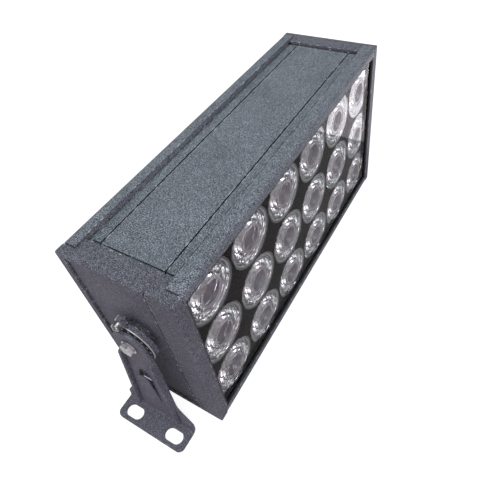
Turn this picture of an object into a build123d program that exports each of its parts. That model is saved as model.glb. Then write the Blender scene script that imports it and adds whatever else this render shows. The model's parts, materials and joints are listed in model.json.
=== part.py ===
from build123d import *
from math import atan2, cos, radians, sin
import os

# An outdoor LED facade light. Four extruded rails, two panels and a ribbed back sit between two cast end
# caps. Eighteen collimator lenses stand behind the front glass. A pressed bracket turns on each end.
# Millimetres, +Z up, the lit front faces -Y, and the origin is under the middle of the whole lamp.

os.makedirs("parts", exist_ok=True)

# Housing
length = 320.0  # across the outer faces of the end caps
depth = 96.0  # front to back
cap_height = 164.0
rail_proud = 2.0  # rails above and below the end caps
fit_gap = 0.1  # between fixed pieces that slide together

# Rails and panels
rail_width = 11.0
rail_roof = 5.0  # thickness of a rail over the glass channel
rail_edge_radius = 4.3
strip_width = 9.6  # lower step of a rail, beside its panel
strip_drop = 4.2  # from the top of a rail down to its strip
sheet = 3.0  # strips and panels
groove = 1.1  # between a strip and its panel
rail_seam = 0.35  # between the ends of the rails and the end caps
seam_depth = 1.0  # of the grooves at the foot of a rail and of an end bar
foot_seam = 3.2  # width of the groove at the foot of a rail
bar_seam = 2.6  # width of the groove at the foot of an end bar

# End caps
end_wall = 8.2  # cap beyond the ends of the rails
bar_reach = 17.3  # end bar over the panel ends, from the outer face
cap_border = 10.0  # beside the front opening
cap_edge_radius = 1.2
cap_hollow = 3.2  # hollow in the inner face of the end wall
pocket_depth = 1.9
pocket_front = 22.8  # from the front of the housing to the pocket
pocket_back = 6.7  # from the pocket to the back of the housing
pocket_lip = 3.0  # above and below the pocket
pocket_corner = 2.0
line_front = 21.2  # from the front of the housing to the scored line
line_width = 0.8
line_depth = 1.5

# Front opening, glass and gasket
lip = 1.5  # thickness of the border over the glass
lip_height = 9.1  # from the top of a rail down to the opening
glass_thickness = 2.8
glass_gap = 1.5  # round the edge of the glass, in its channel
gasket_face = 0.3  # between border and glass
gasket_lining = 1.5  # on the edge of the opening
gasket_setback = 0.4  # lining behind the front face
lens_air = 0.2  # between glass and lenses

# Back panel
back_gasket_face = 2.0
back_sheet = 3.0
back_rib_width = 2.0
back_rib_pitch = 8.0
back_rib_margin = 10.0  # from the edge of the panel to the first rib
back_rib_end_gap = 2.0  # from the ends of the ribs to the borders of the caps

# Lenses
columns = 6
rows = 3
grid_end_margin = 4.25  # from the ends of the glass channel to the lens cells
grid_edge_margin = 1.425  # from the panels to the lens cells
lens_gap = 1.125  # from a lens to the edge of its cell
lens_flange = 2.0
lens_rim = 2.6  # flange outside the cone
lens_depth = 24.0
lens_back_radius = 8.6
lens_swell = 1.8  # how full the cone is, 1 being straight
lens_steps = 4  # saw steps down the cone
lens_step = 0.9  # how far each saw step draws in
lens_step_parts = 3  # short cones that make up a saw step
lens_ring_radius = 11.4
lens_ring_width = 1.0
lens_ring_depth = 0.5
lens_recess_radius = 9.0
lens_recess_floor = 6.2
lens_recess_depth = 9.0
led_cavity_radius = 5.5
led_cavity_depth = 6.0
mask_thickness = 1.5
mask_gap = 0.25
holder_rim = 0.9  # holder outside the lens
holder_wall = 2.3

# Board, emitters and heat spreader
board_air = 2.0  # from the back of a lens to the board
board_thickness = 1.6
board_screw_radius = 1.5
board_screw_head = 2.8
board_screw_head_height = 2.0
board_screw_depth = 6.0
emitter_side = 7.0
emitter_height = 0.8
emitter_dome_radius = 2.6
emitter_dome_height = 0.9
spreader_thickness = 6.0
spreader_end_gap = 12.0  # from the ends of the plate to the outer faces of the caps

# Driver, terminal block and leads
driver_length = 170.0
driver_height = 62.0
driver_depth = 34.0
driver_x = -40.0
driver_edge_radius = 2.0
driver_ear = 10.0
driver_ear_thickness = 2.5
driver_screw_radius = 2.0
driver_screw_head = 3.8
driver_screw_head_height = 2.6
driver_screw_depth = 4.0
terminal_length = 32.0
terminal_height = 20.0
terminal_depth = 17.0
terminal_gap = 30.0  # between driver and terminal block
terminal_pole = 3.0
terminal_poles = 3
lead_radius = 2.5
lead_drop = 18.0  # leads above and below the middle of the driver
lead_turn = 12.0
lead_reach = 45.0
lead_hole_gap = 1.0

# Cable gland
gland_x = 100.0
gland_height = 49.0  # above the underside of the rails
gland_thread = 8.0
gland_bore = 5.0
gland_flats = 22.0
gland_hex_height = 5.0
gland_collar = 8.0
gland_seat_depth = 6.0
seal_radius = 6.5
seal_length = 8.0
cable_radius = 3.5
dome_radius = 10.8
dome_length = 14.5
dome_taper = 5.0
dome_lip = 1.8  # end of the dome nut over the seal
dome_mouth = 4.6
lock_nut_height = 4.0

# Pivots
pivot_rise = 18.5  # above the middle of the end cap
boss_radius = 18.4
boss_height = 9.0
boss_rim = 3.7  # thickness of the boss over its neck
boss_neck_radius = 11.0
inner_boss_radius = 9.0
inner_boss_length = 5.0
bolt_radius = 3.0
bolt_thread = 14.0
bolt_flats = 10.0
bolt_head = 3.4
washer_radius = 6.4
washer_thickness = 1.0
hole_gap = 0.15  # round a bolt or screw
thread_gap = 0.05
ring_plate_radius = 18.6
ring_plate_thickness = 0.7
lock_ring_margin = 0.7  # from the edge of the lock ring to the edge of the ring plate
lock_ring_thickness = 0.5
pips = 18  # on the ring plate, in the holes of the lock ring
pip_radius = 0.9
pip_inset = 1.6  # from the edge of the lock ring to the middle of a pip
hub_radius = 4.5
run_gap = 0.05  # round the hub, where the bracket turns
end_float = 0.1  # on each side of the bracket

# Brackets
plate = 2.5
lobe_radius = 14.5
crank_drop = 20.0  # from the pivot down to where the arm leans out
crank_radius = 20.0
arm_lean = 7.1  # how far the arm leans out before its foot
arm_foot_half = 20.0  # half width of the arm where it flares
flare_rise = 26.0  # above the underside of the foot
flare_end_rise = 11.0
flare_radius = 14.0
flare_corner = 4.5
foot_width = 66.0
foot_reach = 18.0
foot_corner = 5.0
foot_clearance = 1.0  # feet above the underside of the rails
bend_radius = 3.5
slot_width = 10.0
slot_length = 16.4
slot_spacing = 40.6
slot_setback = 8.4  # from the end of the foot to the middle of a slot
flange_height = 3.2  # beyond the outer face of the arm
flange_drop = 15.0  # from the pivot down to the top of the side flanges
flange_corner = 2.4
flange_foot_gap = 4.0  # from the flanges down to the foot
tab_drop = 38.6  # from the pivot down to the middle of the tab's round end
tab_length = 34.0  # from there down to the middle of its root
tab_end_radius = 5.0
tab_root_radius = 7.5
tab_thickness = 1.0
tab_rise = 3.4  # of its round end, out of the face of the arm
tab_gap = 0.4  # beside the tab, in its opening
tab_end_gap = 4.0  # above its round end
tab_opening = 18.0  # length of the opening behind its round end

# Earth terminal, on the left end cap
earth_rise = 22.4  # above the pivot
earth_setback = 2.5  # behind the pivot
earth_lug_width = 6.0
earth_lug_height = 6.0
earth_lug_thickness = 4.0
earth_lug_reach = 0.9  # beyond the face of the boss
earth_washer_radius = 3.0
earth_washer_thickness = 2.4
earth_screw_radius = 1.5
earth_screw_depth = 6.0
earth_head_radius = 2.9
earth_head_height = 2.3
cross_length = 3.4
cross_width = 0.8
cross_depth = 1.1

# Screws in the bottom bars of the end caps
cap_screw_radius = 1.6
cap_screw_head = 3.0
cap_screw_length = 5.0
cap_screw_margin = 6.3  # from the edges of a panel in to the cap screws

# Places worked out from the sizes above
gland_reach = gland_hex_height + dome_length - lip - back_gasket_face  # behind the back of the housing
mid_y = -gland_reach / 2
front_y = mid_y - depth / 2
height = cap_height + 2 * rail_proud
mid_z = height / 2
half = height / 2
cap_face = length / 2
rail_end = cap_face - end_wall
panel_length = 2 * rail_end
bar_inner = cap_face - bar_reach
bar_thickness = strip_drop - rail_proud
step = rail_width + strip_width
panel_width = depth - 2 * step - 2 * groove
cap_screw_spread = panel_width / 2 - cap_screw_margin
strip_under = strip_drop + sheet
inner_half_height = half - strip_under
channel_half_height = half - rail_roof
channel_half_length = rail_end + cap_hollow
opening_half_length = cap_face - cap_border
opening_half_height = half - lip_height
glass_half_length = channel_half_length - glass_gap
glass_half_height = channel_half_height - glass_gap
glass_front = lip + gasket_face
lens_front = glass_front + glass_thickness + lens_air
channel_depth = max(lens_front, lip + back_gasket_face + back_sheet + fit_gap)
lens_seat = lens_front + lens_flange
lens_back = lens_front + lens_depth
board_front = lens_back + board_air
spreader_front = board_front + board_thickness
spreader_back = spreader_front + spreader_thickness
spreader_half_length = cap_face - spreader_end_gap
grid_length = 2 * (channel_half_length - grid_end_margin)
grid_height = 2 * (inner_half_height - grid_edge_margin)
cell = min(grid_length / columns, grid_height / rows)
column_pitch = (grid_length - cell) / (columns - 1)
row_pitch = (grid_height - cell) / (rows - 1)
lens_radius = cell / 2 - lens_gap
lens_cone_radius = lens_radius - lens_rim
holder_radius = lens_radius + holder_rim
board_half_length = (columns - 1) / 2 * column_pitch + holder_radius
board_half_height = (rows - 1) / 2 * row_pitch + holder_radius
panel_rib = board_thickness - 2 * fit_gap
panel_rib_height = inner_half_height - board_half_height - fit_gap
back_outer = depth - lip - back_gasket_face
pivot_z = mid_z + pivot_rise
pocket_face = cap_face - pocket_depth
boss_face = pocket_face + boss_height
ring_face = boss_face + ring_plate_thickness
lock_ring_radius = ring_plate_radius - lock_ring_margin
hub_seat = ring_face + lock_ring_thickness
arm_inner = hub_seat + end_float
arm_outer = arm_inner + plate
hub_end = arm_outer + end_float
washer_face = hub_end + washer_thickness
arm_mid = arm_inner + plate / 2
foot_mid_z = foot_clearance + plate / 2
crank_z = pivot_z - crank_drop
foot_end = arm_mid + arm_lean + plate / 2 + foot_reach
lean = atan2(arm_lean, crank_z - foot_mid_z)
earth_z = pivot_z + earth_rise
earth_face = boss_face + earth_lug_reach
earth_lug_back = earth_face - earth_lug_thickness
earth_washer_face = earth_face + earth_washer_thickness
cap_screw_x = (bar_inner + rail_end) / 2
bar_under_z = rail_proud
strip_half = half - strip_drop  # from mid height to the face of a strip


def section_at(x):
    """Plane across the lamp: first axis front to back from mid depth, second axis up."""
    return Plane(origin=(x, mid_y, 0), x_dir=(0, 1, 0), z_dir=(1, 0, 0))


def upright_at(inset):
    """Plane facing the front, inset from it: first axis along X, second axis up from mid height."""
    return Plane(origin=(0, front_y + inset, mid_z), x_dir=(1, 0, 0), z_dir=(0, -1, 0))


def back_point(x, z, inset):
    """Plane facing the back at one point of it, for the gland."""
    return Plane(origin=(x, front_y + inset, z), x_dir=(-1, 0, 0), z_dir=(0, 1, 0))


def save(piece, name):
    piece.part.label = name
    export_step(piece.part, f"parts/{name}.step")


def to_left():
    """Turn the piece being built, made for the right end, into the one for the left end."""
    mirror(about=Plane.YZ, mode=Mode.REPLACE)


def cap_screw_places():
    """Planes of the two cap screws of the right end, on the underside of its bottom bar."""
    return [
        Plane(origin=(cap_screw_x, mid_y + shift, bar_under_z), x_dir=(1, 0, 0), z_dir=(0, 0, -1))
        for shift in (-cap_screw_spread, cap_screw_spread)
    ]


# End caps
def end_cap(name, left):
    with BuildPart() as cap:
        with BuildSketch(section_at(rail_end)):
            with Locations((0, mid_z)):
                Rectangle(depth, cap_height)
        extrude(amount=end_wall)
        fillet(cap.faces().sort_by(Axis.X)[-1].edges(), radius=cap_edge_radius)
        with BuildSketch(section_at(bar_inner)):
            bar_middle = cap_height / 2 - bar_thickness / 2
            with Locations((0, mid_z + bar_middle), (0, mid_z - bar_middle)):
                Rectangle(depth - 2 * rail_width - 2 * fit_gap, bar_thickness)
        extrude(amount=bar_reach - end_wall)
        with BuildSketch(section_at(opening_half_length)):
            border_middle = depth / 2 - lip / 2
            with Locations((border_middle, mid_z), (-border_middle, mid_z)):
                Rectangle(lip, 2 * opening_half_height - 2 * fit_gap)
        extrude(amount=cap_border - end_wall)
        with BuildSketch(section_at(rail_end)):
            with Locations((0, mid_z)):
                Rectangle(depth - 2 * lip, 2 * channel_half_height)
        extrude(amount=cap_hollow, mode=Mode.SUBTRACT)
        with BuildSketch(section_at(pocket_face)):
            with Locations(((pocket_front - pocket_back) / 2, mid_z)):
                RectangleRounded(
                    depth - pocket_front - pocket_back, cap_height - 2 * pocket_lip, pocket_corner
                )
        extrude(amount=pocket_depth, mode=Mode.SUBTRACT)
        with BuildSketch(section_at(cap_face)):
            with Locations((line_front + line_width / 2 - depth / 2, mid_z)):
                Rectangle(line_width, cap_height)
        extrude(amount=-line_depth, mode=Mode.SUBTRACT)
        with BuildSketch(section_at(pocket_face)):
            with Locations((0, pivot_z)):
                Circle(boss_neck_radius)
        extrude(amount=boss_height)
        with BuildSketch(section_at(boss_face)):
            with Locations((0, pivot_z)):
                Circle(boss_radius)
        extrude(amount=-boss_rim)
        if left:
            with BuildSketch(section_at(earth_lug_back)):
                with Locations((earth_setback, pivot_z + earth_rise / 2)):
                    Rectangle(earth_lug_width, earth_rise)
            extrude(amount=boss_face - earth_lug_back)
            with BuildSketch(section_at(earth_lug_back)):
                with Locations((earth_setback, earth_z)):
                    Rectangle(earth_lug_width, earth_lug_height)
            extrude(amount=earth_lug_thickness)
            with BuildSketch(section_at(earth_face)):
                with Locations((earth_setback, earth_z)):
                    Circle(earth_screw_radius + thread_gap)
            extrude(amount=-earth_lug_thickness, mode=Mode.SUBTRACT)
        with BuildSketch(section_at(channel_half_length)):
            with Locations((0, pivot_z)):
                Circle(inner_boss_radius)
        extrude(amount=-inner_boss_length)
        with BuildSketch(section_at(boss_face)):
            with Locations((0, pivot_z)):
                Circle(bolt_radius + thread_gap)
        extrude(amount=-bolt_thread, mode=Mode.SUBTRACT)
        with Locations(*cap_screw_places()):
            CounterSinkHole(cap_screw_radius + thread_gap, cap_screw_head, depth=bar_thickness)
        if left:
            to_left()
    save(cap, name)


end_cap("left_end_cap", left=True)
end_cap("right_end_cap", left=False)


def strip_face(top):
    """Plane of the faces of the strips and the panel, at the top or below."""
    return Plane(origin=(0, mid_y, mid_z + top * strip_half), x_dir=(1, 0, 0), z_dir=(0, 0, top))


def bar_seams():
    """Outlines of the two grooves at the feet of the end bars."""
    with GridLocations(2 * bar_inner - bar_seam, 0, 2, 1):
        Rectangle(bar_seam, depth - 2 * rail_width)


# Rails
def rail(name, front, top):
    """One corner rail. front is -1 at the front and 1 at the back, top is 1 at the top and -1 below."""

    def corner(inset, drop):
        return front * (depth / 2 - inset), mid_z + top * (half - drop)

    rail_half = rail_end - rail_seam
    with BuildPart() as piece:
        with BuildSketch(section_at(-rail_half)) as section:
            with BuildLine():
                Polyline(
                    corner(0, 0),
                    corner(rail_width, 0),
                    corner(rail_width, strip_drop + seam_depth),
                    corner(rail_width + foot_seam, strip_drop + seam_depth),
                    corner(rail_width + foot_seam, strip_drop),
                    corner(step, strip_drop),
                    corner(step, strip_under),
                    corner(channel_depth, strip_under),
                    corner(channel_depth, rail_roof),
                    corner(lip, rail_roof),
                    corner(lip, lip_height),
                    corner(0, lip_height),
                    close=True,
                )
            make_face()
            fillet(section.vertices().sort_by_distance((*corner(0, 0), 0))[0], radius=rail_edge_radius)
        extrude(amount=2 * rail_half)
        with BuildSketch(strip_face(top)):
            bar_seams()
        extrude(amount=-seam_depth, mode=Mode.SUBTRACT)
    save(piece, name)


for top, height_word in ((1, "top"), (-1, "bottom")):
    for front, side_word in ((-1, "front"), (1, "back")):
        rail(f"{height_word}_{side_word}_rail", front, top)


# Top and bottom panels, with ribs inside that hold the heat spreader
def panel(name, top):
    spreader_mid = (spreader_front + spreader_back) / 2 - depth / 2
    rib_shift = spreader_thickness / 2 + fit_gap + panel_rib / 2
    rib_middle = inner_half_height - panel_rib_height / 2
    with BuildPart() as piece:
        with BuildSketch(section_at(-rail_end)):
            with Locations((0, mid_z + top * (inner_half_height + sheet / 2))):
                Rectangle(panel_width, sheet)
            with Locations(
                (spreader_mid - rib_shift, mid_z + top * rib_middle),
                (spreader_mid + rib_shift, mid_z + top * rib_middle),
            ):
                Rectangle(panel_rib, panel_rib_height)
        extrude(amount=panel_length)
        with BuildSketch(strip_face(top)):
            bar_seams()
        extrude(amount=-seam_depth, mode=Mode.SUBTRACT)
        if top < 0:
            with Locations(*cap_screw_places()):
                Hole(cap_screw_radius + thread_gap, depth=bar_thickness + sheet)
            mirror_places = [
                Plane(origin=(-place.origin.X, place.origin.Y, bar_under_z), z_dir=(0, 0, -1))
                for place in cap_screw_places()
            ]
            with Locations(*mirror_places):
                Hole(cap_screw_radius + thread_gap, depth=bar_thickness + sheet)
    save(piece, name)


panel("top_panel", 1)
panel("bottom_panel", -1)

# Screws in the bottom bars
with BuildPart() as cap_screws:
    for place in cap_screw_places():
        sink = cap_screw_head - cap_screw_radius
        with BuildSketch(place):
            Circle(cap_screw_head - fit_gap)
        with BuildSketch(place.offset(-sink)):
            Circle(cap_screw_radius)
        loft()
        with BuildSketch(place.offset(-sink)):
            Circle(cap_screw_radius)
        extrude(amount=sink - cap_screw_length)
    mirror(about=Plane.YZ)
save(cap_screws, "cap_screws")

# Gasket that lines the front opening and carries the glass
lining_length = 2 * (opening_half_length - gasket_lining)
lining_height = 2 * (opening_half_height - gasket_lining)
with BuildPart() as glass_gasket:
    with BuildSketch(upright_at(lip)):
        Rectangle(2 * (channel_half_length - fit_gap), 2 * (channel_half_height - fit_gap))
        Rectangle(lining_length, lining_height, mode=Mode.SUBTRACT)
    extrude(amount=-gasket_face)
    with BuildSketch(upright_at(lip)):
        Rectangle(2 * opening_half_length - 2 * fit_gap, 2 * opening_half_height - 4 * fit_gap)
        Rectangle(lining_length, lining_height, mode=Mode.SUBTRACT)
    extrude(amount=lip - gasket_setback)
save(glass_gasket, "glass_gasket")

# Front glass
with BuildPart() as front_glass:
    with BuildSketch(upright_at(glass_front)):
        Rectangle(2 * glass_half_length, 2 * glass_half_height)
    extrude(amount=-glass_thickness)
save(front_glass, "front_glass")

# Dark mask round the lenses, on the rims of the lens holders
with BuildPart() as lens_mask:
    with BuildSketch(upright_at(lens_seat - mask_thickness)):
        Rectangle(2 * glass_half_length, 2 * (inner_half_height - fit_gap))
        with GridLocations(column_pitch, row_pitch, columns, rows):
            Circle(lens_radius + mask_gap, mode=Mode.SUBTRACT)
    extrude(amount=-mask_thickness)
save(lens_mask, "lens_mask")


# Lenses, numbered by row from the top and by column from the left
def cone_radius(share):
    """Radius of the cone of a lens, at a share of the way from its flange to its back."""
    return lens_cone_radius - (lens_cone_radius - lens_back_radius) * share**lens_swell


def cone_points():
    """Half profile of the cone of a lens, from its flange to its back, as radius and depth."""
    points = []
    for number in range(lens_steps):
        for part in range(lens_step_parts + 1):
            share = (number + part / lens_step_parts) / lens_steps
            draw_in = lens_step * (1 - part / lens_step_parts) if number else 0
            points.append((cone_radius(share) - draw_in, lens_flange + share * (lens_depth - lens_flange)))
    return points


def lens(name, x, z):
    axis_point = (x, front_y + lens_front, z)
    ring_outer = lens_ring_radius + lens_ring_width
    cavity_floor = lens_depth - led_cavity_depth
    with BuildPart() as piece:
        with BuildSketch(Plane(origin=axis_point, x_dir=(1, 0, 0), z_dir=(0, 0, 1))):
            with BuildLine():
                Polyline(
                    (0, lens_recess_depth),
                    (lens_recess_floor, lens_recess_depth),
                    (lens_recess_radius, 0),
                    (lens_ring_radius, 0),
                    (lens_ring_radius, lens_ring_depth),
                    (ring_outer, lens_ring_depth),
                    (ring_outer, 0),
                    (lens_radius, 0),
                    (lens_radius, lens_flange),
                    *cone_points(),
                    (led_cavity_radius, lens_depth),
                    (led_cavity_radius, cavity_floor),
                    (0, cavity_floor),
                    close=True,
                )
            make_face()
        revolve(axis=Axis(axis_point, (0, 1, 0)))
    save(piece, name)


for row in range(rows):
    for column in range(columns):
        lens(
            f"lens_{row + 1}_{column + 1}",
            (column - (columns - 1) / 2) * column_pitch,
            mid_z - (row - (rows - 1) / 2) * row_pitch,
        )

# Holders that carry the lenses and the mask, standing on the board
with BuildPart() as lens_holders:
    with BuildSketch(upright_at(lens_seat)):
        with GridLocations(column_pitch, row_pitch, columns, rows):
            Circle(holder_radius)
            Circle(holder_radius - holder_wall, mode=Mode.SUBTRACT)
    extrude(amount=lens_seat - board_front)
save(lens_holders, "lens_holders")

# LED emitters
with BuildPart() as led_emitters:
    with BuildSketch(upright_at(board_front)):
        with GridLocations(column_pitch, row_pitch, columns, rows):
            Rectangle(emitter_side, emitter_side)
    extrude(amount=emitter_height)
    with BuildSketch(upright_at(board_front - emitter_height)):
        with GridLocations(column_pitch, row_pitch, columns, rows):
            Circle(emitter_dome_radius)
    extrude(amount=emitter_dome_height)
save(led_emitters, "led_emitters")

# LED board
lead_hole = lead_radius + lead_hole_gap
lead_hole_x = driver_x + driver_length / 2 + lead_reach
with BuildPart() as led_board:
    with BuildSketch(upright_at(board_front)):
        Rectangle(2 * board_half_length, 2 * board_half_height)
        with GridLocations(column_pitch, row_pitch, columns - 1, rows - 1):
            Circle(board_screw_radius + hole_gap, mode=Mode.SUBTRACT)
    extrude(amount=-board_thickness)
save(led_board, "led_board")

# Screws that hold the board to the heat spreader
with BuildPart() as board_screws:
    with BuildSketch(upright_at(board_front)):
        with GridLocations(column_pitch, row_pitch, columns - 1, rows - 1):
            Circle(board_screw_head)
    extrude(amount=board_screw_head_height)
    with BuildSketch(upright_at(board_front)):
        with GridLocations(column_pitch, row_pitch, columns - 1, rows - 1):
            Circle(board_screw_radius)
    extrude(amount=-board_screw_depth)
save(board_screws, "board_screws")

# Heat spreader, held between the ribs of the two panels
driver_holes = (driver_length - driver_ear, driver_height + driver_ear)
with BuildPart() as heat_spreader:
    with BuildSketch(upright_at(spreader_front)):
        Rectangle(2 * spreader_half_length, 2 * (inner_half_height - fit_gap))
        with GridLocations(column_pitch, row_pitch, columns - 1, rows - 1):
            Circle(board_screw_radius + thread_gap, mode=Mode.SUBTRACT)
        with Locations((lead_hole_x, lead_drop)):
            Circle(lead_hole, mode=Mode.SUBTRACT)
        with Locations((driver_x, 0)):
            with GridLocations(*driver_holes, 2, 2):
                Circle(driver_screw_radius + thread_gap, mode=Mode.SUBTRACT)
    extrude(amount=-spreader_thickness)
save(heat_spreader, "heat_spreader")

# Driver on the back of the heat spreader, with an ear above and below
with BuildPart() as driver:
    with BuildSketch(upright_at(spreader_back)):
        with Locations((driver_x, 0)):
            Rectangle(driver_length, driver_height + 2 * driver_ear)
            with GridLocations(*driver_holes, 2, 2):
                Circle(driver_screw_radius + hole_gap, mode=Mode.SUBTRACT)
    extrude(amount=-driver_ear_thickness)
    with BuildSketch(upright_at(spreader_back)):
        with Locations((driver_x, 0)):
            RectangleRounded(driver_length, driver_height, driver_edge_radius)
    extrude(amount=-driver_depth)
save(driver, "driver")

# Driver screws
with BuildPart() as driver_screws:
    ear_face = upright_at(spreader_back + driver_ear_thickness)
    with BuildSketch(ear_face):
        with Locations((driver_x, 0)):
            with GridLocations(*driver_holes, 2, 2):
                Circle(driver_screw_head)
    extrude(amount=-driver_screw_head_height)
    with BuildSketch(ear_face):
        with Locations((driver_x, 0)):
            with GridLocations(*driver_holes, 2, 2):
                Circle(driver_screw_radius)
    extrude(amount=driver_ear_thickness + driver_screw_depth)
save(driver_screws, "driver_screws")

# Terminal block, beside the driver
driver_end = driver_x + driver_length / 2
terminal_start = driver_end + terminal_gap
terminal_pitch = terminal_length / terminal_poles
with BuildPart() as terminal_block:
    with BuildSketch(upright_at(spreader_back)):
        with Locations((terminal_start + terminal_length / 2, -lead_drop)):
            Rectangle(terminal_length, terminal_height)
    extrude(amount=-terminal_depth)
    with BuildSketch(upright_at(spreader_back + terminal_depth)):
        with Locations((terminal_start + terminal_length / 2, -lead_drop)):
            with GridLocations(terminal_pitch, 0, terminal_poles, 1):
                Circle(terminal_pole)
    extrude(amount=terminal_depth / 2, mode=Mode.SUBTRACT)
save(terminal_block, "terminal_block")

# Lead from the terminal block to the driver, and lead from the driver to the board
lead_y = front_y + spreader_back + terminal_depth / 2
with BuildPart() as input_lead:
    with BuildSketch(Plane(origin=(driver_end, lead_y, mid_z - lead_drop), z_dir=(1, 0, 0))):
        Circle(lead_radius)
    extrude(amount=terminal_gap)
save(input_lead, "input_lead")

with BuildPart() as led_lead:
    with BuildLine() as lead_route:
        FilletPolyline(
            (driver_end, lead_y + lead_turn, mid_z + lead_drop),
            (lead_hole_x, lead_y + lead_turn, mid_z + lead_drop),
            (lead_hole_x, front_y + spreader_front, mid_z + lead_drop),
            radius=lead_turn,
        )
    with BuildSketch(Plane(origin=lead_route.line @ 0, z_dir=lead_route.line % 0)):
        Circle(lead_radius)
    sweep()
save(led_lead, "led_lead")

# Back panel, ribbed along its length, with a flat pad round the gland
gland_pad = gland_flats / 2 / cos(radians(30)) + groove
gland_low = gland_height - mid_z
with BuildPart() as back_panel:
    with BuildSketch(upright_at(back_outer)):
        Rectangle(2 * glass_half_length, 2 * glass_half_height)
    extrude(amount=back_sheet)
    rib_height = lip + back_gasket_face
    rib_count = int((2 * opening_half_height - 2 * back_rib_margin) / back_rib_pitch) + 1
    with BuildSketch(upright_at(back_outer)):
        with GridLocations(0, back_rib_pitch, 1, rib_count):
            Rectangle(2 * (opening_half_length - back_rib_end_gap), back_rib_width)
        with Locations((gland_x, gland_low)):
            Circle(gland_pad, mode=Mode.SUBTRACT)
    extrude(amount=-rib_height)
    with BuildSketch(upright_at(back_outer)):
        with Locations((gland_x, gland_low)):
            Circle(gland_thread + hole_gap)
    extrude(amount=back_sheet, mode=Mode.SUBTRACT)
save(back_panel, "back_panel")

# Gasket between the back panel and the borders
with BuildPart() as back_gasket:
    with BuildSketch(upright_at(back_outer)):
        Rectangle(2 * (channel_half_length - fit_gap), 2 * (channel_half_height - fit_gap))
        Rectangle(2 * opening_half_length, 2 * opening_half_height, mode=Mode.SUBTRACT)
    extrude(amount=-back_gasket_face)
save(back_gasket, "back_gasket")

# Cable gland, from the pad outwards
gland_face = back_point(gland_x, gland_height, back_outer)
hex_radius = gland_flats / 2
gland_inside = back_sheet + lock_nut_height + fit_gap
with BuildPart() as gland_body:
    with BuildSketch(gland_face):
        RegularPolygon(hex_radius, 6, major_radius=False)
    extrude(amount=gland_hex_height)
    with BuildSketch(gland_face):
        Circle(gland_thread)
    extrude(amount=gland_hex_height + gland_collar)
    with BuildSketch(gland_face):
        Circle(gland_thread)
    extrude(amount=-gland_inside)
    with BuildSketch(gland_face.offset(-gland_inside)):
        Circle(gland_bore)
    extrude(amount=gland_inside + gland_hex_height + gland_collar, mode=Mode.SUBTRACT)
    with BuildSketch(gland_face.offset(gland_hex_height + gland_collar)):
        Circle(seal_radius + thread_gap)
    extrude(amount=-gland_seat_depth, mode=Mode.SUBTRACT)
save(gland_body, "gland_body")

seal_start = gland_hex_height + gland_collar - gland_seat_depth
with BuildPart() as gland_seal:
    with BuildSketch(gland_face.offset(seal_start)):
        Circle(seal_radius)
        Circle(cable_radius, mode=Mode.SUBTRACT)
    extrude(amount=seal_length)
save(gland_seal, "gland_seal")

dome_straight = dome_length - dome_taper
with BuildPart() as gland_nut:
    nut_face = gland_face.offset(gland_hex_height)
    with BuildSketch(nut_face):
        RegularPolygon(dome_radius, 6, major_radius=False)
    extrude(amount=dome_straight)
    with BuildSketch(nut_face.offset(dome_straight)):
        Circle(dome_radius)
    with BuildSketch(nut_face.offset(dome_length)):
        Circle(seal_radius + dome_lip / 2)
    loft()
    with BuildSketch(nut_face):
        Circle(gland_thread + thread_gap)
    extrude(amount=gland_collar + fit_gap, mode=Mode.SUBTRACT)
    with BuildSketch(nut_face):
        Circle(seal_radius + thread_gap)
    extrude(amount=gland_collar + seal_length - gland_seat_depth, mode=Mode.SUBTRACT)
    with BuildSketch(nut_face):
        Circle(dome_mouth)
    extrude(amount=dome_length, mode=Mode.SUBTRACT)
save(gland_nut, "gland_nut")

with BuildPart() as gland_lock_nut:
    with BuildSketch(gland_face.offset(-back_sheet)):
        RegularPolygon(hex_radius, 6, major_radius=False)
        Circle(gland_thread + thread_gap, mode=Mode.SUBTRACT)
    extrude(amount=-lock_nut_height)
save(gland_lock_nut, "gland_lock_nut")


# Pivot hardware
def ring_plate(name, left):
    """Bright steel disc on the face of the boss, with a row of small pips round it."""
    with BuildPart() as piece:
        with BuildSketch(section_at(boss_face)):
            with Locations((0, pivot_z)):
                Circle(ring_plate_radius)
                Circle(bolt_radius + hole_gap, mode=Mode.SUBTRACT)
        extrude(amount=ring_plate_thickness)
        with BuildSketch(section_at(ring_face)):
            with Locations((0, pivot_z)):
                with PolarLocations(lock_ring_radius - pip_inset, pips):
                    Circle(pip_radius)
        extrude(amount=lock_ring_thickness)
        if left:
            to_left()
    save(piece, name)


def lock_ring(name, left):
    """Black ring with a hole for each pip of the ring plate, and a hub that the bracket turns on."""
    with BuildPart() as piece:
        with BuildSketch(section_at(ring_face)):
            with Locations((0, pivot_z)):
                Circle(lock_ring_radius)
                with PolarLocations(lock_ring_radius - pip_inset, pips):
                    Circle(pip_radius + hole_gap, mode=Mode.SUBTRACT)
        extrude(amount=lock_ring_thickness)
        with BuildSketch(section_at(hub_seat)):
            with Locations((0, pivot_z)):
                Circle(hub_radius)
        extrude(amount=hub_end - hub_seat)
        with BuildSketch(section_at(ring_face)):
            with Locations((0, pivot_z)):
                Circle(bolt_radius + hole_gap)
        extrude(amount=hub_end - ring_face, mode=Mode.SUBTRACT)
        if left:
            to_left()
    save(piece, name)


for left, side in ((True, "left"), (False, "right")):
    ring_plate(f"{side}_ring_plate", left)
    lock_ring(f"{side}_lock_ring", left)

with BuildPart() as pivot_washers:
    with BuildSketch(section_at(hub_end)):
        with Locations((0, pivot_z)):
            Circle(washer_radius)
            Circle(bolt_radius + hole_gap, mode=Mode.SUBTRACT)
    extrude(amount=washer_thickness)
    mirror(about=Plane.YZ)
save(pivot_washers, "pivot_washers")

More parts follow.
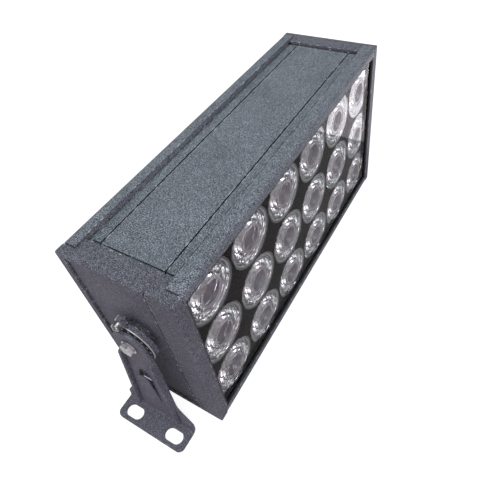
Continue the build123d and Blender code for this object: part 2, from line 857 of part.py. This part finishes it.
with BuildPart() as pivot_bolts:
    with BuildSketch(section_at(washer_face)):
        with Locations((0, pivot_z)):
            RegularPolygon(bolt_flats / 2, 6, major_radius=False)
    extrude(amount=bolt_head)
    with BuildSketch(section_at(washer_face)):
        with Locations((0, pivot_z)):
            Circle(bolt_radius)
    extrude(amount=boss_face + bolt_head - bolt_thread - washer_face)
    mirror(about=Plane.YZ)
save(pivot_bolts, "pivot_bolts")

# Earth terminal above the left pivot
with BuildPart() as earth_washer:
    with BuildSketch(section_at(earth_face)):
        with Locations((earth_setback, earth_z)):
            Circle(earth_washer_radius)
            Circle(earth_screw_radius + hole_gap, mode=Mode.SUBTRACT)
    extrude(amount=earth_washer_thickness)
    to_left()
save(earth_washer, "earth_washer")

with BuildPart() as earth_screw:
    with BuildSketch(section_at(earth_washer_face)):
        with Locations((earth_setback, earth_z)):
            Circle(earth_head_radius)
    extrude(amount=earth_head_height)
    fillet(earth_screw.edges().group_by(Axis.X)[-1], radius=earth_head_height / 2)
    with BuildSketch(section_at(earth_washer_face)):
        with Locations((earth_setback, earth_z)):
            Circle(earth_screw_radius)
    extrude(amount=-earth_washer_thickness - earth_screw_depth)
    with BuildSketch(section_at(earth_washer_face + earth_head_height)):
        with Locations((earth_setback, earth_z)):
            Rectangle(cross_length, cross_width, rotation=45)
            Rectangle(cross_length, cross_width, rotation=-45)
    extrude(amount=-cross_depth, mode=Mode.SUBTRACT)
    to_left()
save(earth_screw, "earth_screw")


# Brackets
def arm_plane(x_shift, z):
    """Plane in the leaning part of the right arm, x_shift out from its middle, at one height."""
    out = arm_mid + (crank_z - z) * arm_lean / (crank_z - foot_mid_z)
    normal = (cos(lean), 0, sin(lean))
    origin = (out + x_shift * cos(lean), mid_y, z + x_shift * sin(lean))
    return Plane(origin=origin, x_dir=(0, 1, 0), z_dir=normal)


def arm_half_width(z):
    """Half width of the straight sides of the arm at one height."""
    share = (pivot_z - z) / (pivot_z - foot_clearance - flare_rise)
    return lobe_radius + share * (arm_foot_half - lobe_radius)


def tab_outline(grow, end):
    """Outline of the raised tab, round at both ends and wider below, grown all round."""
    with Locations((0, end)):
        Circle(tab_end_radius + grow)
    with Locations((0, -tab_length)):
        Circle(tab_root_radius + grow)
    make_hull()


def bracket(name, left):
    flare_z = foot_clearance + flare_rise
    flare_end_z = foot_clearance + flare_end_rise
    flange_top = pivot_z - flange_drop
    flange_low = foot_clearance + plate + flange_foot_gap
    side = Plane(origin=(0, mid_y, 0), x_dir=(1, 0, 0), z_dir=(0, -1, 0))
    with BuildPart() as blank:
        with BuildSketch(side):
            with BuildLine():
                FilletPolyline(
                    (arm_mid, pivot_z + lobe_radius),
                    (arm_mid, crank_z),
                    (arm_mid + arm_lean, foot_mid_z),
                    (foot_end, foot_mid_z),
                    radius=(crank_radius, bend_radius),
                )
            trace(line_width=plate)
        extrude(amount=foot_width / 2, both=True)
        with BuildSketch(section_at(0)) as outline:
            with BuildLine():
                Polyline(
                    (-lobe_radius, pivot_z),
                    (-arm_foot_half, flare_z),
                    (-foot_width / 2, flare_end_z),
                    (-foot_width / 2, 0),
                    (foot_width / 2, 0),
                    (foot_width / 2, flare_end_z),
                    (arm_foot_half, flare_z),
                    (lobe_radius, pivot_z),
                    close=True,
                )
            make_face()
            waists = outline.vertices().filter_by_position(Axis.Y, flare_z, flare_z)
            fillet(waists, radius=flare_radius)
            shoulders = outline.vertices().filter_by_position(Axis.Y, flare_end_z, flare_end_z)
            fillet(shoulders, radius=flare_corner)
            with Locations((0, pivot_z)):
                Circle(lobe_radius)
        extrude(amount=foot_end + plate, mode=Mode.INTERSECT)
        fillet(blank.edges().filter_by(Axis.Z).group_by(Axis.X)[-1], radius=foot_corner)
    tab_face = arm_plane(plate / 2, pivot_z - tab_drop)
    with BuildPart() as tab:
        with BuildSketch(side):
            slope = [
                tab_face.from_local_coords((0, along, out))
                for along, out in (
                    (tab_end_radius, tab_rise),
                    (tab_end_radius, tab_rise - tab_thickness),
                    (-tab_length - tab_root_radius, -tab_thickness),
                    (-tab_length - tab_root_radius, 0),
                )
            ]
            with BuildLine():
                Polyline(*[(point.X, point.Z) for point in slope], close=True)
            make_face()
        extrude(amount=tab_root_radius, both=True)
        with BuildSketch(tab_face.offset(-plate)):
            tab_outline(0, -tab_end_gap)
        extrude(amount=plate + tab_rise, mode=Mode.INTERSECT)
    with BuildPart() as piece:
        add(blank.part)
        with BuildSketch(tab_face):
            tab_outline(tab_gap, 0)
            with Locations((0, tab_end_radius + tab_gap - tab_opening / 2)):
                Rectangle(foot_width, tab_opening, mode=Mode.INTERSECT)
        extrude(amount=-plate, mode=Mode.SUBTRACT)
        add(tab.part)
        top_plane = arm_plane(0, flange_top)
        flange_length = (flange_top - flange_low) / cos(lean)
        top_half = arm_half_width(flange_top)
        low_half = arm_half_width(flange_low)
        with BuildSketch(top_plane):
            for sign in (-1, 1):
                with BuildLine():
                    Polyline(
                        (sign * top_half, 0),
                        (sign * low_half, -flange_length),
                        (sign * (low_half - plate), -flange_length),
                        (sign * (top_half - plate), 0),
                        close=True,
                    )
                make_face()
        extrude(amount=plate / 2 + flange_height)
        for sign in (-1, 1):
            corner = (sign * (top_half - plate / 2), 0, plate / 2 + flange_height)
            top_edge = piece.edges().sort_by_distance(top_plane.from_local_coords(corner))[0]
            fillet(top_edge, radius=flange_corner)
        with BuildSketch(Plane.XY.offset(foot_clearance)):
            with Locations((foot_end - slot_setback, mid_y)):
                with GridLocations(0, slot_spacing, 1, 2):
                    SlotOverall(slot_length, slot_width, rotation=90)
        extrude(amount=plate, mode=Mode.SUBTRACT)
        with BuildSketch(section_at(arm_inner)):
            with Locations((0, pivot_z)):
                Circle(hub_radius + run_gap)
        extrude(amount=plate, mode=Mode.SUBTRACT)
        if left:
            to_left()
    save(piece, name)


bracket("left_bracket", left=True)
bracket("right_bracket", left=False)
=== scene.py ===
import json
from math import radians

import bpy
from mathutils import Matrix, Vector

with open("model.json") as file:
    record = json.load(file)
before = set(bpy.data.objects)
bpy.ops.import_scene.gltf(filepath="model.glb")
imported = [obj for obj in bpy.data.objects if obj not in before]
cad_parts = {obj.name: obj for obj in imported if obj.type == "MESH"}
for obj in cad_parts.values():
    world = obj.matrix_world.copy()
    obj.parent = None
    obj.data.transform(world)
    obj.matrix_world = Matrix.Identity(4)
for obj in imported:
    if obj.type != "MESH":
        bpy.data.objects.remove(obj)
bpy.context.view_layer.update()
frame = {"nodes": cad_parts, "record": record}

# An outdoor LED facade light in dark powder coat, seen from its left end and from above. All the shapes are
# the frame's own. This script gives them their materials, the light and the camera. Metres.

mm = 0.001

# Camera
image_width = 500  # pixels
sensor_width = 36.0  # millimetres
camera_focal = 459.9  # pixels
camera_axis = (258.0, 214.0)  # pixel that the camera's axis goes through
camera_place = (-244.4 * mm, -186.4 * mm, 375.5 * mm)
camera_azimuth = -53.44  # degrees, 0 looks along +Y
camera_dip = 45.33  # degrees below the level
camera_roll = -9.1  # degrees
camera_near = 10 * mm  # nothing closer is shown

# Light
sky_strength = 0.42
sky_colour = (1.0, 0.92, 1.0)
white = (1.0, 1.0, 1.0)
gloss_share = 0.4  # of the white backdrop, in reflections
floor_size = 12.0
floor_drop = 0.3 * mm  # below the lowest edge of the facade light
floor_colour = (0.35, 0.35, 0.35)
floor_glow = 0.90
lamp_aim = (0.0, 0.0, 0.08)

# Textures
noise_turn = (0.5, 0.7, 0.3)  # radians about X, Y and Z
noise_range = (0.3, 0.7)  # nearly all values of a noise lie in it
bevel_samples = 4
crevice_samples = 16

# Powder coat
coat_grain = 0.55 * mm
coat_speck = 0.7 * mm
coat_blotch = 4.5 * mm
coat_cloud = 45 * mm
coat_flake = 4 * mm  # places where the coat is chipped off an edge
coat_relief = 0.06 * mm  # height of the grain
coat_rounding = 0.25 * mm
coat_edge = 1.4 * mm  # reach of the wear along an edge
coat_shade_reach = 3.2 * mm  # reach of the painted shade in a groove
coat_gloss = 0.15
coat_shade = 0.2  # how much the clouds darken it

# Steel, plastic, clear pieces and aluminium
steel_grain = 1.2 * mm
steel_stain = 4 * mm
# reach of the painted shade in the corners of steel
steel_shade_reach = 1.5 * mm
steel_relief = 0.01 * mm
plastic_grain = 1.5 * mm
plastic_drift = 18 * mm
plastic_relief = 0.03 * mm
small_rounding = 0.2 * mm  # of edges of steel and plastic
clear_wave = 14 * mm
clear_relief = 0.02 * mm
glass_index = 1.06  # of a glass that hardly mirrors
lens_index = 1.49
brush_grain = 2.0 * mm
brush_relief = 0.02 * mm

# Colours, linear
coat_light = (0.254, 0.284, 0.318)
coat_dark = (0.034, 0.038, 0.046)
coat_fleck = (0.42, 0.45, 0.50)
# end caps: a darker, purpler copy of the housing coat, as painted shade on their side faces
shaded_cap_light = (0.194, 0.198, 0.234)
shaded_cap_dark = (0.034, 0.034, 0.042)
shaded_cap_fleck = (0.30, 0.31, 0.35)
bracket_light = (0.160, 0.162, 0.192)
bracket_dark = (0.074, 0.072, 0.088)
bracket_fleck = (0.28, 0.30, 0.36)
# near black of the painted shade in corners and grooves
painted_shade_colour = (0.012, 0.012, 0.016)
chip_colour = (0.85, 0.86, 0.88)
steel_colour = (0.72, 0.71, 0.72)
steel_dark = (0.12, 0.12, 0.13)
aluminium_light = (0.72, 0.73, 0.74)
aluminium_dark = (0.60, 0.61, 0.62)
glass_tint = (0.97, 0.975, 0.98)
lens_tint = (0.975, 0.955, 0.98)

# Sockets of a colour mix, which share their names with others of the same node
mix_first = 6
mix_second = 7
mix_result = 2


class Nodes:
    """A node tree that is put together step by step."""

    def __init__(self, tree):
        self.tree = tree

    def node(self, kind, **settings):
        made = self.tree.nodes.new(kind)
        for name, value in settings.items():
            setattr(made, name, value)
        return made

    def feed(self, socket, value):
        """Link a socket to another node's output, or set it to a plain value."""
        if isinstance(value, bpy.types.NodeSocket):
            self.tree.links.new(value, socket)
        elif isinstance(value, tuple) and len(value) == 3 and socket.type == "RGBA":
            socket.default_value = (*value, 1.0)
        else:
            socket.default_value = value

    def math(self, operation, first, second):
        made = self.node("ShaderNodeMath", operation=operation)
        self.feed(made.inputs[0], first)
        self.feed(made.inputs[1], second)
        return made.outputs["Value"]

    def mix(self, share, first, second):
        """Colour between two others."""
        made = self.node("ShaderNodeMix", data_type="RGBA")
        self.feed(made.inputs["Factor"], share)
        self.feed(made.inputs[mix_first], first)
        self.feed(made.inputs[mix_second], second)
        return made.outputs[mix_result]

    def spread(self, value, low, high, to_low=0.0, to_high=1.0):
        """Stretch the range from low to high over a new range, and clamp what lies outside."""
        made = self.node("ShaderNodeMapRange", clamp=True)
        for name, number in (
            ("Value", value),
            ("From Min", low),
            ("From Max", high),
            ("To Min", to_low),
            ("To Max", to_high),
        ):
            self.feed(made.inputs[name], number)
        return made.outputs["Result"]

    def backdrop_rays(self):
        """1 for the camera's own rays, which show the plain white backdrop, and less for rays of gloss."""
        path = self.node("ShaderNodeLightPath")
        gloss = self.math("MULTIPLY", path.outputs["Is Glossy Ray"], gloss_share)
        return self.math("MAXIMUM", path.outputs["Is Camera Ray"], gloss)


class Look(Nodes):
    """A material. Its textures are laid out in metres on the frame."""

    def __init__(self, name):
        self.material = bpy.data.materials.new(name)
        self.material.use_nodes = True
        super().__init__(self.material.node_tree)
        self.shader = self.tree.nodes["Principled BSDF"]

    def set(self, **values):
        """Set sockets of the surface shader, named with underscores for spaces."""
        for name, value in values.items():
            self.feed(self.shader.inputs[name.replace("_", " ")], value)

    def noise(self, grain, detail=2.0, roughness=0.5, stretch=None):
        """Noise with lumps about one grain across, stretched along an axis or else turned off the axes."""
        place = self.node("ShaderNodeMapping")
        self.feed(place.inputs["Vector"], self.node("ShaderNodeTexCoord").outputs["Object"])
        if stretch:
            self.feed(place.inputs["Scale"], stretch)
        else:
            self.feed(place.inputs["Rotation"], noise_turn)
        texture = self.node("ShaderNodeTexNoise")
        self.feed(texture.inputs["Vector"], place.outputs["Vector"])
        self.feed(texture.inputs["Scale"], 1.0 / grain)
        self.feed(texture.inputs["Detail"], detail)
        self.feed(texture.inputs["Roughness"], roughness)
        return texture.outputs["Fac"]

    def rounded(self, radius):
        """Normal that rounds off the sharp edges of a solid."""
        made = self.node("ShaderNodeBevel", samples=bevel_samples)
        self.feed(made.inputs["Radius"], radius)
        return made.outputs["Normal"]

    def edge(self, radius, low, high):
        """How close a point is to a sharp edge, from 0 to 1."""
        likeness = self.node("ShaderNodeVectorMath", operation="DOT_PRODUCT")
        self.feed(likeness.inputs[0], self.rounded(radius))
        self.feed(likeness.inputs[1], self.node("ShaderNodeNewGeometry").outputs["Normal"])
        return self.spread(likeness.outputs["Value"], high, low)

    def corner_shade(self, reach, low, high):
        """How deep a point lies in a corner or a groove, from 0 to 1, which masks painted shade."""
        made = self.node("ShaderNodeAmbientOcclusion", samples=crevice_samples)
        self.feed(made.inputs["Distance"], reach)
        return self.spread(made.outputs["AO"], high, low)

    def bump(self, height, depth, normal=None):
        """Normal of a surface with a relief, on top of another normal if there is one."""
        made = self.node("ShaderNodeBump")
        self.feed(made.inputs["Strength"], 1.0)
        self.feed(made.inputs["Distance"], depth)
        self.feed(made.inputs["Height"], height)
        if normal is not None:
            self.feed(made.inputs["Normal"], normal)
        return made.outputs["Normal"]


# Materials
def powder_coat(name, light, dark, fleck, chips, mottle):
    """Textured powder coat with light flecks, painted shade in its corners and grooves, and chips along its
    edges.
    """
    look = Look(name)
    grain = look.noise(coat_grain, detail=1.0, roughness=0.6)
    specks = look.noise(coat_speck, detail=0.0)
    cloud = look.noise(coat_cloud, detail=3.0)
    blotch = look.noise(coat_blotch)
    base = look.mix(look.spread(grain, 0.45, 0.55), dark, light)
    flecked = look.mix(look.spread(specks, 0.62, 0.70), base, fleck)
    mottled = look.mix(look.spread(blotch, 0.42, 0.60, 0.0, mottle), flecked, dark)
    shaded = look.mix(look.spread(cloud, 0.40, 0.65, 0.0, coat_shade), mottled, dark)
    flakes = look.spread(look.noise(coat_flake), 0.59, 0.615)
    worn = look.math("MULTIPLY", look.edge(coat_edge, 0.80, 0.95), flakes)
    chipped = look.mix(look.math("MULTIPLY", worn, chips), shaded, chip_colour)
    # Base colour: painted shade, near black, in corners and grooves, over the chipped coat
    look.set(
        Base_Color=look.mix(look.corner_shade(coat_shade_reach, 0.36, 0.66), chipped, painted_shade_colour),
        Roughness=look.spread(grain, *noise_range, 0.46, 0.66),
        Specular_IOR_Level=coat_gloss,
        Normal=look.bump(grain, coat_relief, look.rounded(coat_rounding)),
    )
    return look.material


def bright_steel(name, tarnish, shade_share, roughness):
    """Bright steel, tarnished in patches, with painted shade in its corners."""
    look = Look(name)
    grain = look.noise(steel_grain, detail=4.0, stretch=(1.0, 3.0, 3.0))
    stain = look.noise(steel_stain, detail=3.0)
    tarnished = look.mix(look.spread(stain, 0.35, 0.7, 0.0, tarnish), steel_colour, steel_dark)
    # painted shade: the steel darkens in its corners, as far as the share given says
    shaded_corners = look.math("MULTIPLY", look.corner_shade(steel_shade_reach, 0.3, 0.7), shade_share)
    look.set(
        Base_Color=look.mix(shaded_corners, tarnished, painted_shade_colour),
        Metallic=1.0,
        Roughness=look.spread(grain, *noise_range, roughness - 0.06, roughness + 0.06),
        Normal=look.bump(grain, steel_relief, look.rounded(small_rounding)),
    )
    return look.material


def moulded(name, colour, pale, roughness, gloss=0.5):
    """Moulded plastic or rubber with a fine grain and a little colour drift."""
    look = Look(name)
    grain = look.noise(plastic_grain, detail=3.0)
    drift = look.noise(plastic_drift)
    look.set(
        Base_Color=look.mix(look.spread(drift, 0.3, 0.75), colour, pale),
        Roughness=look.spread(grain, *noise_range, roughness - 0.08, roughness + 0.08),
        Specular_IOR_Level=gloss,
        Normal=look.bump(grain, plastic_relief, look.rounded(small_rounding)),
    )
    return look.material


def clear(name, tint, index):
    """Clear glass or acrylic, faintly uneven."""
    look = Look(name)
    wave = look.noise(clear_wave, detail=1.0)
    look.set(
        Base_Color=tint,
        Transmission_Weight=1.0,
        IOR=index,
        Roughness=0.0,
        Normal=look.bump(wave, clear_relief),
    )
    return look.material


def bare_aluminium(name):
    """Aluminium with fine lines along its length."""
    look = Look(name)
    lines = look.noise(brush_grain, detail=4.0, stretch=(0.08, 1.0, 1.0))
    look.set(
        Base_Color=look.mix(look.spread(lines, *noise_range), aluminium_light, aluminium_dark),
        Metallic=1.0,
        Roughness=look.spread(lines, *noise_range, 0.35, 0.5),
        Normal=look.bump(lines, brush_relief),
    )
    return look.material


housing_colours = (coat_light, coat_dark, coat_fleck)
bracket_colours = (bracket_light, bracket_dark, bracket_fleck)
shaded_cap_colours = (shaded_cap_light, shaded_cap_dark, shaded_cap_fleck)
looks = {
    "housing_coat": powder_coat("housing_coat", *housing_colours, chips=1.0, mottle=0.1),
    "bracket_coat": powder_coat("bracket_coat", *bracket_colours, chips=0.3, mottle=0.2),
    "front_glass": clear("front_glass", glass_tint, glass_index),
    "lens": clear("lens", lens_tint, lens_index),
    "gasket": moulded("gasket", (0.012, 0.012, 0.013), (0.02, 0.02, 0.02), roughness=0.6),
    "mask": moulded("mask", (0.010, 0.008, 0.008), (0.016, 0.013, 0.012), roughness=0.9, gloss=0.0),
    "holder": moulded("holder", (0.56, 0.54, 0.58), (0.64, 0.62, 0.66), roughness=0.4),
    "board": moulded("board", (0.72, 0.72, 0.73), (0.78, 0.78, 0.78), roughness=0.35),
    "emitter": moulded("emitter", (0.82, 0.66, 0.22), (0.88, 0.76, 0.34), roughness=0.4),
    "driver_case": moulded("driver_case", (0.70, 0.70, 0.67), (0.78, 0.78, 0.75), roughness=0.5),
    "terminal": moulded("terminal", (0.62, 0.62, 0.58), (0.70, 0.70, 0.66), roughness=0.45),
    "lead": moulded("lead", (0.02, 0.02, 0.02), (0.03, 0.03, 0.03), roughness=0.5),
    "black_plastic": moulded(
        "black_plastic", (0.008, 0.008, 0.009), (0.014, 0.014, 0.015), roughness=0.5, gloss=0.2
    ),
    "bare_aluminium": bare_aluminium("bare_aluminium"),
    "bright_steel": bright_steel("bright_steel", tarnish=1.0, shade_share=1.0, roughness=0.2),
}
for subpart in frame["record"]["subparts"]:
    mesh = frame["nodes"][subpart["node"]].data
    mesh.materials.clear()
    mesh.materials.append(looks[subpart["material_slot"]])

# Pieces that differ from the others of their material. The end caps take a darker, purpler copy of the
# housing coat, which is painted shade for their side faces.
shaded_cap_coat = powder_coat("shaded_cap_coat", *shaded_cap_colours, chips=1.0, mottle=0.15)
ring_steel = bright_steel("ring_steel", tarnish=0.1, shade_share=0.0, roughness=0.45)
own_looks = {
    "left_end_cap": shaded_cap_coat,
    "right_end_cap": shaded_cap_coat,
    "left_ring_plate": ring_steel,
    "right_ring_plate": ring_steel,
    "back_panel": powder_coat("back_coat", *housing_colours, chips=0.0, mottle=0.1),
}
for node, material in own_looks.items():
    frame["nodes"][node].data.materials[0] = material


# Floor, sky and lamps
def make_sky():
    world = bpy.data.worlds.new("sky")
    world.use_nodes = True
    nodes = Nodes(world.node_tree)
    sky = nodes.tree.nodes["Background"]
    rays = nodes.backdrop_rays()
    nodes.feed(sky.inputs["Color"], nodes.mix(rays, sky_colour, white))
    nodes.feed(sky.inputs["Strength"], nodes.spread(rays, 0.0, 1.0, sky_strength, 1.0))
    bpy.context.scene.world = world


def make_floor():
    """Pale floor that shows as white and keeps a soft shadow."""
    bpy.ops.mesh.primitive_plane_add(size=floor_size, location=(0.0, 0.0, -floor_drop))
    floor = bpy.context.object
    floor.name = "floor"
    look = Look("floor")
    look.set(
        Base_Color=floor_colour,
        Roughness=1.0,
        Specular_IOR_Level=0.0,
        Emission_Color=white,
        Emission_Strength=look.spread(look.backdrop_rays(), 0.0, 1.0, 0.0, floor_glow),
    )
    floor.data.materials.append(look.material)


def make_lamp(name, place, aim, size, power, colour):
    data = bpy.data.lights.new(name, "AREA")
    data.shape = "SQUARE"
    data.size = size
    data.energy = power
    data.color = colour
    lamp = bpy.data.objects.new(name, data)
    lamp.location = place
    lamp.rotation_euler = (Vector(aim) - Vector(place)).to_track_quat("-Z", "Y").to_euler()
    bpy.context.scene.collection.objects.link(lamp)


make_sky()
make_floor()
make_lamp(
    "top_lamp", place=(-0.1, -0.1, 1.5), aim=lamp_aim, size=1.2, power=10.5, colour=(0.80, 1.0, 0.97)
)
make_lamp(
    "side_lamp", place=(-1.2, 0.6, 0.8), aim=lamp_aim, size=0.6, power=2.4, colour=(1.0, 0.86, 0.96)
)
make_lamp(
    "front_lamp", place=(-0.9, -1.2, 0.7), aim=lamp_aim, size=1.0, power=8.5, colour=(1.0, 0.84, 0.97)
)

# Two weak lamps on the floor beside the far end, which shine up and show in the glass there
make_lamp(
    "low_lamp",
    place=(0.33, -0.13, 0.003),
    aim=(0.33, -0.13, 1.0),
    size=0.22,
    power=0.26,
    colour=(1.0, 0.94, 1.0),
)
make_lamp(
    "corner_lamp",
    place=(0.43, -0.15, 0.004),
    aim=(0.43, -0.15, 1.0),
    size=0.12,
    power=0.2,
    colour=(1.0, 0.96, 1.0),
)


# Camera, as the photograph was taken
def make_camera():
    data = bpy.data.cameras.new("camera")
    data.sensor_width = sensor_width
    data.lens = camera_focal / image_width * sensor_width
    data.shift_x = (image_width / 2 - camera_axis[0]) / image_width
    data.shift_y = (camera_axis[1] - image_width / 2) / image_width
    data.clip_start = camera_near
    camera = bpy.data.objects.new("camera", data)
    turn = (
        Matrix.Rotation(radians(camera_azimuth), 4, "Z")
        @ Matrix.Rotation(radians(90 - camera_dip), 4, "X")
        @ Matrix.Rotation(radians(camera_roll), 4, "Z")
    )
    camera.matrix_world = Matrix.Translation(camera_place) @ turn
    bpy.context.scene.collection.objects.link(camera)
    bpy.context.scene.camera = camera


make_camera()
bpy.context.scene.view_settings.view_transform = "Standard"
